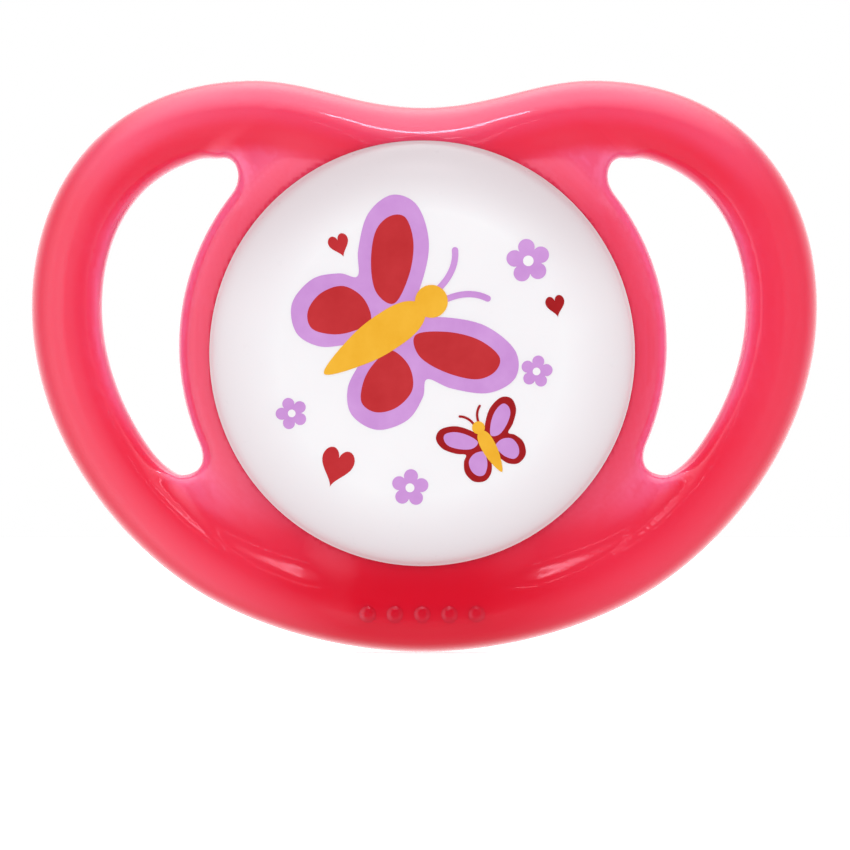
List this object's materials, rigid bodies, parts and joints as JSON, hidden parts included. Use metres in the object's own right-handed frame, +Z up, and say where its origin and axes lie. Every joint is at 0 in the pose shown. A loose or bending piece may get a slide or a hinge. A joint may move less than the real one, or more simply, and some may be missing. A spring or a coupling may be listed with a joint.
{
  "type": "pacifier",
  "caption": "Baby pacifier with a soft bean-shaped ring shield, crescent openings beside a round snap-fit front cover, and a hollow silicone nipple that flexes at its neck.",
  "frame": {"origin": "centre of the front cover's flat front face, on the nipple's axis", "axes": "+X to the right across the shield as seen from the front, -Y out of the cover's front face, so the nipple points along +Y, +Z up with the shield's dip on top"},
  "size_m": [0.058, 0.037, 0.0421],
  "materials": {
    "shield": "glossy, slightly translucent coral pink soft plastic",
    "cover": "satin-gloss white plastic",
    "plug": "natural white plastic, as moulded",
    "nipple": "smooth clear silicone"
  },
  "bodies": {
    "shield_body": {"shield": "shield", "front_cover": "cover", "retaining_plug": "plug", "nipple_base": "nipple"},
    "neck": {"nipple_neck": "nipple"},
    "bulb": {"nipple_bulb": "nipple"}
  },
  "joints": [
    {"name": "nipple_nod", "type": "hinge", "parent": "shield_body", "child": "neck", "pos_m": [0, 0.0142, 0], "axis": [1, 0, 0], "range_deg": [-25, 25], "stiffness_Nm_per_rad": 0.06, "deforming": ["nipple_neck"]},
    {"name": "nipple_sway", "type": "hinge", "parent": "neck", "child": "bulb", "pos_m": [0, 0.0178, 0], "axis": [0, 0, 1], "range_deg": [-25, 25], "stiffness_Nm_per_rad": 0.06, "deforming": ["nipple_neck"]}
  ]
}
